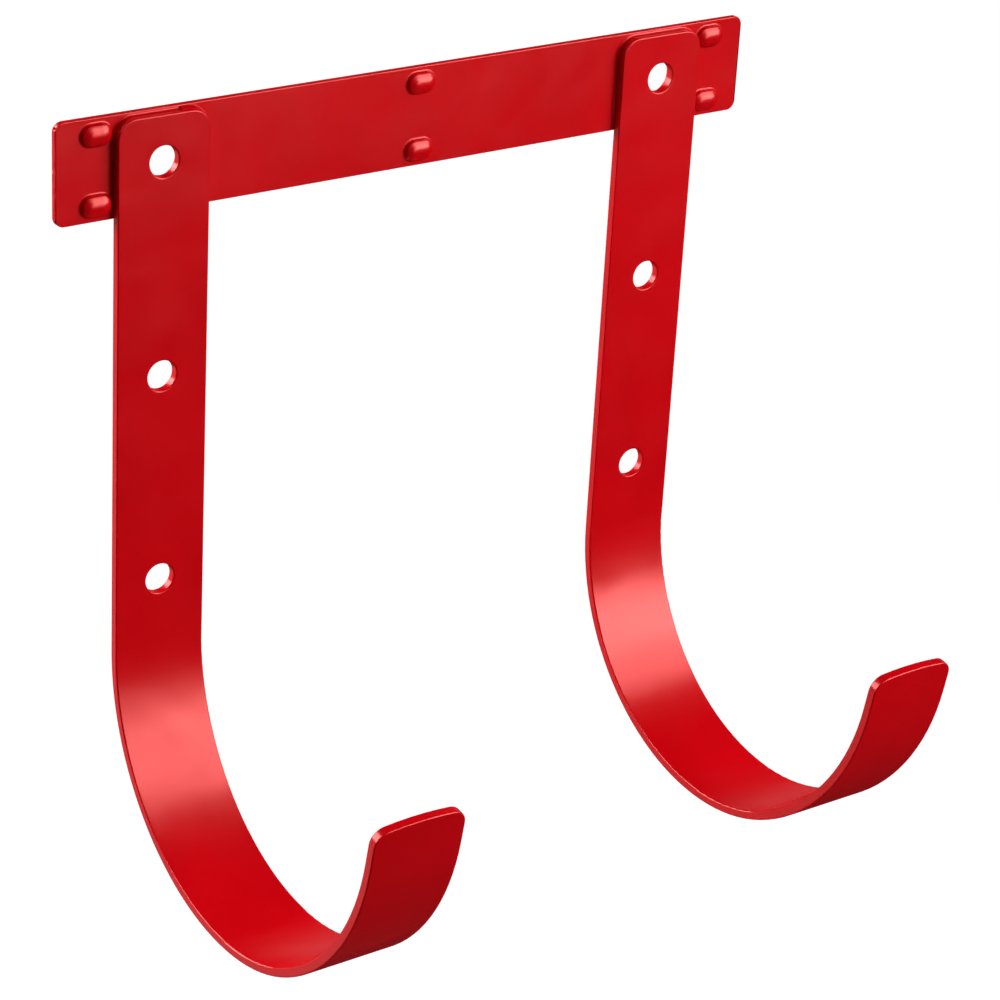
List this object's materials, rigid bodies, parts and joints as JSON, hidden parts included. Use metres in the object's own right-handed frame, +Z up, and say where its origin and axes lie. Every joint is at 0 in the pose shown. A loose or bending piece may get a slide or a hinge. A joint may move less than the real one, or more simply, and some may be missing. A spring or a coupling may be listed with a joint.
{
  "type": "double wall hook",
  "caption": "Painted steel wall bracket: a flat crossbar with pressed bumps carries two deep J-shaped strap hooks, each drilled for screws.",
  "frame": {"origin": "middle of the crossbar's back face, the face that lies on the wall", "axes": "+X along the crossbar to the right as seen from the front, +Z up, +Y into the wall, so the hooks reach out towards -Y"},
  "size_m": [0.245, 0.1477, 0.2372],
  "materials": {
    "red_paint": "gloss"
  },
  "bodies": {
    "root": {"crossbar": "red_paint", "left_hook": "red_paint", "right_hook": "red_paint", "left_weld": "red_paint", "left_top_weld": "red_paint", "right_weld": "red_paint"}
  },
  "joints": []
}
